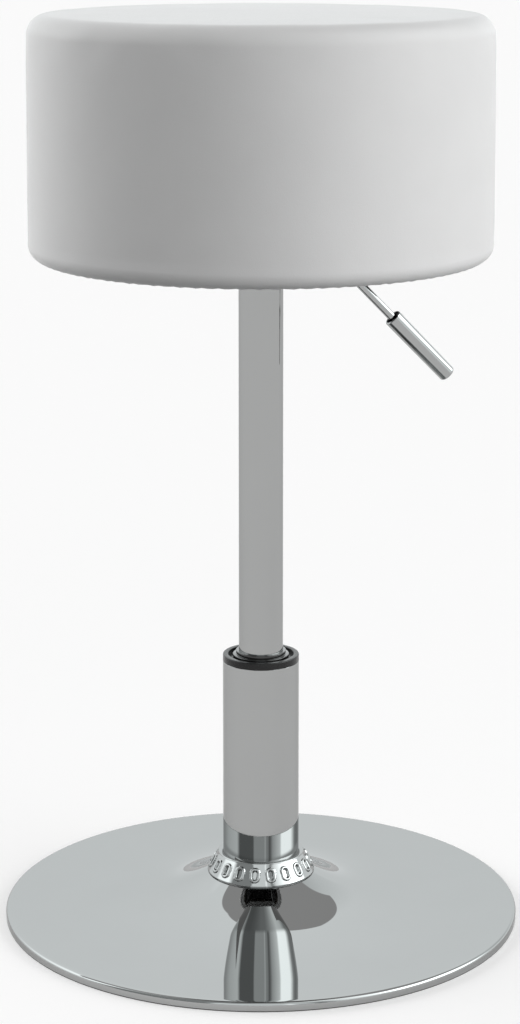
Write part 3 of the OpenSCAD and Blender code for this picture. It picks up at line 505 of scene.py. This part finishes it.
# Trim ring: pressed and plated ring that drops over the tube and hides its joint with the
# base. A row of nineteen oblong windows with raised frames runs round its slope.
trim_foot_r = 0.0402
trim_top_r = 0.0322
trim_gap = 0.0003
trim_edge = 0.0003
trim_h = 0.016
trim_foot_w = 0.0024
band_h = 0.0015
trim_foot = height_at(trim_foot_r) + trim_gap
trim_top = trim_foot + trim_h
band_top = trim_foot + band_h
trim_inner_r = trim_foot_r - trim_foot_w
trim_step_r = 0.0336
trim_bore_r = 0.02855
trim_dip = 0.0006
bead_r = 0.0008
bead_inner_r = 0.0295
bead_dip = 0.0002
window_count = 19
window_half_w = 0.0017
window_half_l = 0.0033
window_round = 0.0015
window_depth = 0.0013
window_floor = 0.0004
window_wall = 0.0005
frame_w = 0.0023
frame_rise = 0.0010
frame_foot = 0.9
frame_foot_h = 0.436
slope_fade = 0.0006
strips_a_window = 36
rows = 44
slope_run = Vector((trim_top_r - trim_foot_r, trim_top - bead_r - band_top))
slope_l = slope_run.length
slope_out = Vector((slope_run[1], -slope_run[0])) / slope_l


def eased(x):
    x = min(1.0, max(0.0, x))
    return x * x * (3 - 2 * x)


def window_height(across, along_slope):
    """How far the ring's slope stands out or in at a place seen from the nearest window."""
    dx = abs(across) - (window_half_w - window_round)
    dy = abs(along_slope) - (window_half_l - window_round)
    outside = math.hypot(max(dx, 0), max(dy, 0)) + min(max(dx, dy), 0) - window_round
    off_middle = min(1.0, abs(outside - frame_w / 2) / (frame_w / 2))
    if off_middle < frame_foot:
        ridge = frame_rise * math.sqrt(1 - off_middle ** 2)
    else:
        foot_share = (off_middle - frame_foot) / (1 - frame_foot)
        ridge = frame_rise * frame_foot_h * (1 - eased(foot_share))
    return ridge - window_depth * (1 - eased((outside + window_floor) / window_wall))


rest_of_ring = arc(trim_top_r - bead_r, trim_top - bead_r, bead_r, 20, 90, 7)
rest_of_ring += [(bead_inner_r, trim_top - bead_dip), (trim_bore_r, trim_top - trim_dip),
                 (trim_bore_r, collar_z), (trim_step_r, collar_z),
                 (collar_r, collar_z + trim_gap),
                 (trim_inner_r, height_at(trim_inner_r) + trim_gap),
                 (trim_foot_r - trim_edge, trim_foot), (trim_foot_r, trim_foot + trim_edge),
                 (trim_foot_r, band_top - trim_edge)]
pitch = 2 * math.pi / window_count
strips = window_count * strips_a_window
bm = bmesh.new()
rings = []
for k in range(strips):
    t = 2 * math.pi * k / strips
    off = (t + pitch / 2) % pitch - pitch / 2
    strip = []
    for i in range(rows + 1):
        v = slope_l * i / rows
        r = trim_foot_r + slope_run[0] * i / rows
        z = band_top + slope_run[1] * i / rows
        h = window_height(off * r, v - slope_l / 2) * eased(min(v, slope_l - v) / slope_fade)
        strip.append((r + slope_out[0] * h, z + slope_out[1] * h))
    strip += rest_of_ring
    rings.append([bm.verts.new((r * math.cos(t), r * math.sin(t), z)) for r, z in strip])
join_rings(bm, rings, closed=True)
trim = placed("trim_ring_windows", bm, 40)
trim.data.materials.append(bright_chrome)
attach(trim, "base")
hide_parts("trim_ring")

# Guide collar: black moulded plastic cap on the tube with a recess in its face for the wiper;
# its long sleeve guides the post inside the tube. The core of the lever's handle is moulded
# from the same plastic.
bore_r = 0.01655
sleeve_r = 0.02645
sleeve_foot = 0.144
flange_top = 0.199
flange_edge = 0.0008
recess_r = 0.0245
recess_z = 0.196
recess_edge = 0.0003
moulded = grained("black_plastic", scale=1400, detail=2, dark=(0.007, 0.007, 0.007),
                  light=(0.015, 0.015, 0.015), rough=(0.2, 0.3), depth=0.00001,
                  more={"Specular IOR Level": 0.28})
collar = turned("guide_collar_cap", [
    (bore_r, sleeve_foot), (sleeve_r, sleeve_foot), (sleeve_r, tube_top), (tube_r, tube_top),
    *arc(tube_r - flange_edge, flange_top - flange_edge, flange_edge, 0, 90, 6),
    *arc(recess_r + recess_edge, flange_top - recess_edge, recess_edge, 90, 180, 3),
    (recess_r, recess_z), (bore_r, recess_z),
], 160)
collar.data.materials.append(moulded)
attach(collar, "base")
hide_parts("guide_collar")
finish_nodes(moulded, "handle_core")

# Wiper: glossy black plastic ring, let into the recess of the collar. Its thin raised lip
# hugs the post and keeps dust out of the tube.
wiper_r = 0.02095
wiper_edge_r = 0.0205
wiper_edge_z = 0.1987
wiper_edge = 0.0004
lip_foot_r = 0.0188
lip_foot_z = 0.1993
lip_r = 0.0181
lip_round_z = 0.2013
lip_round = 0.0006
lip_top = 0.2016
gloss = grained("gloss_black_plastic", scale=300, detail=2, dark=(0.006, 0.006, 0.006),
                light=(0.012, 0.012, 0.012), rough=(0.05, 0.1), more={"Coat Weight": 0.5})
wiper = turned("post_wiper", [
    (bore_r, recess_z), (wiper_r, recess_z), (wiper_r, wiper_edge_z),
    *arc(wiper_edge_r, wiper_edge_z, wiper_edge, 0, 90, 4), (lip_foot_r, lip_foot_z),
    *arc(lip_r, lip_round_z, lip_round, 0, 80, 5), (bore_r, lip_top),
], 160)
wiper.data.materials.append(gloss)
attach(wiper, "base")
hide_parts("wiper_ring")

# Gas spring: the plain chrome post is its pressure tube, ground, polished and plated, with a
# taper at the top for the bracket. The piston rod inside stands on the hub.
post_r = 0.0165
post_bore_r = 0.0145
post_foot = 0.1468
foot_bevel_r = 0.0159
foot_bevel_z = 0.1474
taper_foot = 0.48095
taper_top = 0.49695
taper_r = 0.0155
post = turned("upper_post_tube", [
    (post_bore_r, post_foot), (foot_bevel_r, post_foot), (post_r, foot_bevel_z),
    (post_r, taper_foot), (taper_r, taper_top), (post_bore_r, taper_top),
])
post.data.materials.append(bright_chrome)
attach(post, "lift")
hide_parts("upper_post")
finish_nodes(bright_chrome, "piston_rod")

# Valve spring: round steel wire, wound cold, in the head of the post. Its foot stands on the
# valve body and the release pin presses its top down.
spring_turns = 5
wire_r = 0.00045
wire_sides = 12
wire_steps = 200
spring_foot, spring_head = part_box("valve_spring")
coil_r = (spring_head[0] - spring_foot[0]) / 2 - wire_r
coil_rise = spring_head[2] - spring_foot[2] - 2 * wire_r
bm = bmesh.new()
rings = []
for i in range(wire_steps + 1):
    a = 2 * math.pi * spring_turns * i / wire_steps
    z = spring_foot[2] + wire_r + coil_rise * i / wire_steps
    wire = arc(coil_r, z, wire_r, 0, 360 - 360 / wire_sides, wire_sides - 1)
    rings.append([bm.verts.new((r * math.cos(a), r * math.sin(a), h)) for r, h in wire])
join_rings(bm, rings)
coil = placed("valve_coil", bm, 50)
coil.data.materials.append(bright_zinc)
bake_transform(coil)
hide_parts("valve_spring")

# Seat bracket: a steel socket welded into a pressed plate, powder coated black with the coat's
# fine orange peel. The socket sits on the post's taper and the plate is bolted to the board.
powder = grained("black_powder_coat", scale=260, detail=3, dark=(0.02, 0.02, 0.021),
                 light=(0.035, 0.035, 0.037), rough=(0.38, 0.5), depth=0.00015)
finish_nodes(powder, "bracket_socket", "bracket_plate")

# Release lever: one bent rod, chrome plated, plugged into the rocker; a tapered chrome handle
# with an open inner end is pushed over a plastic core on the rod's outer leg.
lever_r = 0.0032
pivot_z = 0.50695
rod_start = 0.0305
corner_x = 0.0455
lever_slope = math.radians(45.7)
bend_r = 0.014
bend_steps = 12
leg = 0.0813
rod_in_handle = 0.0355
bend_start = corner_x - bend_r * math.tan(lever_slope / 2)
path = [Vector((rod_start, 0, pivot_z)), Vector((bend_start, 0, pivot_z))]
for i in range(1, bend_steps + 1):
    a = lever_slope * i / bend_steps
    path.append(Vector((bend_start + bend_r * math.sin(a), 0,
                        pivot_z - bend_r * (1 - math.cos(a)))))
down = Vector((math.cos(lever_slope), 0, -math.sin(lever_slope)))
corner = Vector((corner_x, 0, pivot_z))
path.append(corner + down * (leg + rod_in_handle))


def rod_along(name, path, r, around=40):
    """A round rod along a path of points in the plane of the lever."""
    bm = bmesh.new()
    side = Vector((0, 1, 0))
    turns = [2 * math.pi * k / around for k in range(around)]
    rings = []
    for i, p in enumerate(path):
        before = path[max(i - 1, 0)]
        after = path[min(i + 1, len(path) - 1)]
        across = side.cross((after - before).normalized()).normalized()
        rings.append([bm.verts.new(p + r * (side * math.cos(t) + across * math.sin(t)))
                      for t in turns])
    join_rings(bm, rings)
    return placed(name, bm)


rod = rod_along("lever_bent_rod", path, lever_r)
rod.data.materials.append(bright_chrome)
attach(rod, "lever")
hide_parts("lever_rod")

handle_l = 0.064
handle_near_r = 0.0068
handle_far_r = 0.0064
handle_wall = 0.0009
handle_edge = 0.0004
handle_round = 0.002
handle_bore_r = handle_far_r - handle_wall
handle_bore_l = handle_l - 2 * handle_wall
outline = [(handle_bore_r, 0.0), (handle_near_r - handle_edge, 0.0), (handle_near_r, handle_edge)]
outline += arc(handle_far_r - handle_round, handle_l - handle_round, handle_round, 0, 90, 8)
outline += [(0.0, handle_l), (0.0, handle_bore_l), (handle_bore_r, handle_bore_l)]
grip = turned("lever_grip", outline, 96)
grip.data.transform(Matrix.Translation(corner)
                    @ Matrix.Rotation(math.pi / 2 + lever_slope, 4, "Y")
                    @ Matrix.Translation((0, 0, leg)))
grip.data.materials.append(bright_chrome)
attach(grip, "lever")
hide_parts("lever_handle")

# Board and ring: birch plywood, sawn round and stained black, with the grain and the layers of
# its edge still showing. The board is bolted to the bracket, the ring is glued under it and
# takes the staples.
plywood, tree, shader = finish_named("stained_plywood")
spot = tree.nodes.new("ShaderNodeTexCoord")
layers = tree.nodes.new("ShaderNodeTexWave")
layers.bands_direction = "Z"
layers.inputs["Scale"].default_value = 210
layers.inputs["Distortion"].default_value = 0.6
tree.links.new(spot.outputs["Object"], layers.inputs["Vector"])
edge = blend_of(spread(layers.outputs["Fac"], 0, 1, 0.2, 0.8),
                (0.022, 0.018, 0.016), (0.075, 0.063, 0.053))
fibres = speckle(tree, 55, 6, (1, 14, 3))
veneer = blend_of(fibres, (0.026, 0.022, 0.019), (0.065, 0.055, 0.047))
facing = tree.nodes.new("ShaderNodeNewGeometry")
parts = tree.nodes.new("ShaderNodeSeparateXYZ")
tree.links.new(facing.outputs["Normal"], parts.inputs[0])
flat = reckon("ABSOLUTE", parts.outputs["Z"])
tree.links.new(blend_of(flat, edge, veneer), shader.inputs["Base Color"])
tree.links.new(spread(fibres, 0.55, 0.75), shader.inputs["Roughness"])
relief(shader, fibres, 0.0002)
finish_nodes(plywood, "seat_board", "seat_ring")

# Dust cloth: thin black non-woven felt with the dimples of its bonding. It is cut round and
# clamped between the board and the bracket, and hides the wood from below.
felt, tree, shader = finish_named("black_felt")
spot = tree.nodes.new("ShaderNodeTexCoord")
dimples = tree.nodes.new("ShaderNodeTexVoronoi")
dimples.inputs["Scale"].default_value = 700
tree.links.new(spot.outputs["Object"], dimples.inputs["Vector"])
tree.links.new(blend_of(spread(dimples.outputs["Distance"], 0, 1, 0, 0.6),
                        (0.012, 0.012, 0.013), (0.035, 0.035, 0.036)),
               shader.inputs["Base Color"])
shader.inputs["Roughness"].default_value = 0.92
shader.inputs["Sheen Weight"].default_value = 0.25
relief(shader, dimples.outputs["Distance"], 0.0003)
finish_nodes(felt, "dust_cloth")

# Seat: a foam drum on the board, under one seamless cover of smooth pale artificial leather,
# pulled down tight over the rounded edges, gathered underneath in small pleats and stapled to
# the plywood ring. The foam's push against the tight cover is a short cloth simulation.
seat_r = 0.1702
seat_top = 0.678
seat_low = 0.499
top_round = 0.0144
low_round = 0.011
bulge = 0.0012
crown = 0.0016
cover = 0.0014
cover_lap = 0.0003
turn_in_r = 0.1412
turn_edge = 0.0004
under_r = 0.1576
under_step = 0.0018
foam_foot = 0.5379
top_rings = 32
side_rings = 40
under_rings = 9
side_top = seat_top - crown - top_round
side_low = seat_low + low_round
flat_r = seat_r - top_round

outline = [(flat_r * i / top_rings, seat_top - crown) for i in range(top_rings + 1)]
outline += arc(flat_r, side_top, top_round, 90, 0, 16)[1:]
outline += [(seat_r, side_top + (side_low - side_top) * i / side_rings)
            for i in range(1, side_rings)]
outline += arc(seat_r - low_round, side_low, low_round, 0, -90, 12)
outline += [(under_r - under_step * i, seat_low) for i in range(under_rings)]
outline += [(turn_in_r + turn_edge, seat_low), (turn_in_r, seat_low + turn_edge),
            (turn_in_r, seat_low + cover - cover_lap), (under_r, seat_low + cover - cover_lap),
            (under_r, foam_foot), (0.0, foam_foot)]
cushion = turned("leather_seat", outline, 256, 50)

trial_grid = 0.006
trial_frames = 20
held_below = 0.545
held_within = 0.159
near_count = 14
near_reach = 0.007


def pushed_out(cushion):
    """How far the foam's pressure moves each point of the cover, from a run of the cloth."""
    trial = bpy.data.objects.new("cover_trial", cushion.data.copy())
    stool.objects.link(trial)
    bpy.context.view_layer.objects.active = trial
    grid = trial.modifiers.new("even_mesh", "REMESH")
    grid.mode = "VOXEL"
    grid.voxel_size = trial_grid
    bpy.ops.object.modifier_apply(modifier="even_mesh")
    held = trial.vertex_groups.new(name="stapled")
    start = [v.co.copy() for v in trial.data.vertices]
    held.add([i for i, co in enumerate(start)
              if co.z < held_below and math.hypot(co.x, co.y) < held_within], 1.0, "REPLACE")
    tight = trial.modifiers.new("tight_cover", "CLOTH")
    tight.settings.quality = 6
    tight.settings.mass = 0.3
    tight.settings.tension_stiffness = 25
    tight.settings.compression_stiffness = 25
    tight.settings.shear_stiffness = 12
    tight.settings.bending_stiffness = 3
    tight.settings.vertex_group_mass = "stapled"
    tight.settings.use_pressure = True
    tight.settings.uniform_pressure_force = 4
    tight.settings.effector_weights.gravity = 0
    tight.point_cache.frame_start = 1
    tight.point_cache.frame_end = trial_frames
    for moment in range(1, trial_frames + 1):
        bpy.context.scene.frame_set(moment)
    bpy.ops.object.modifier_apply(modifier="tight_cover")
    moved = [v.co - co for v, co in zip(trial.data.vertices, start)]
    bpy.context.scene.frame_set(1)
    bpy.data.objects.remove(trial)
    near = KDTree(len(start))
    for i, co in enumerate(start):
        near.insert(co, i)
    near.balance()
    pushes = []
    for v in cushion.data.vertices:
        total = Vector((0, 0, 0))
        weight = 0
        for _, i, away in near.find_n(v.co, near_count):
            share = math.exp(-(away / near_reach) ** 2) + 1e-6
            total += moved[i] * share
            weight += share
        pushes.append(total / weight)
    return pushes


pushes = pushed_out(cushion)
top_push = max(p.z for p in pushes)
side_push = max(math.hypot(p.x, p.y) for p in pushes)
pushes = [Vector((p.x * bulge / side_push, p.y * bulge / side_push, p.z * crown / top_push))
          for p in pushes]

staple_count = 32
staple_line_r = 0.150
staple_reach = 0.004
staple_pinch = 0.75
pleats_a_staple = 3
pleat_wander = 1.3
wanders_round = 5
pleat_rise = 0.0008
pleat_swing = 0.55
pleat_sink = 0.45
pleat_start = 0.001
pleat_run = 0.013
kept_top = 0.5385
kept_r = 0.1577
for v, push in zip(cushion.data.vertices, pushes):
    r = math.hypot(v.co.x, v.co.y)
    turn_at = math.atan2(v.co.y, v.co.x)
    if v.co.z < side_low and r > turn_in_r + turn_edge / 2:
        wander = pleat_wander * math.sin(wanders_round * turn_at)
        fold = math.cos(pleats_a_staple * turn_at * staple_count + wander)
        at_staple = 0.5 + 0.5 * math.cos(turn_at * staple_count)
        on_line = math.exp(-((r - staple_line_r) / staple_reach) ** 2)
        depth = eased((seat_r - pleat_start - r) / pleat_run)
        depth *= 1 - staple_pinch * on_line * at_staple
        push = Vector((0, 0, pleat_rise * (pleat_swing * fold - pleat_sink) * depth))
    elif v.co.z < kept_top and r < kept_r:
        push = Vector((0, 0, 0))
    v.co += push

leather, tree, shader = finish_named("pale_leather")
spot = tree.nodes.new("ShaderNodeTexCoord")
pores = tree.nodes.new("ShaderNodeTexVoronoi")
pores.feature = "DISTANCE_TO_EDGE"
pores.inputs["Scale"].default_value = 780
pores.inputs["Randomness"].default_value = 0.9
tree.links.new(spot.outputs["Object"], pores.inputs["Vector"])
creases = speckle(tree, 420, 4)
clouding = spread(speckle(tree, 14, 3), 0, 1)
tree.links.new(blend_of(clouding, (0.618, 0.620, 0.621), (0.640, 0.642, 0.642)),
               shader.inputs["Base Color"])
tree.links.new(spread(creases, 0.34, 0.42), shader.inputs["Roughness"])
shader.inputs["Specular IOR Level"].default_value = 0.08
pore_share = 0.6
pitted = spread(pores.outputs["Distance"], 0, 1, 0, 0.12)
relief(shader, reckon("MULTIPLY_ADD", pitted, pore_share, creases), 0.00004)
cushion.data.materials.append(leather)
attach(cushion, "lift")
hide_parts("seat_cover", "foam_pad", "foam_wrap")
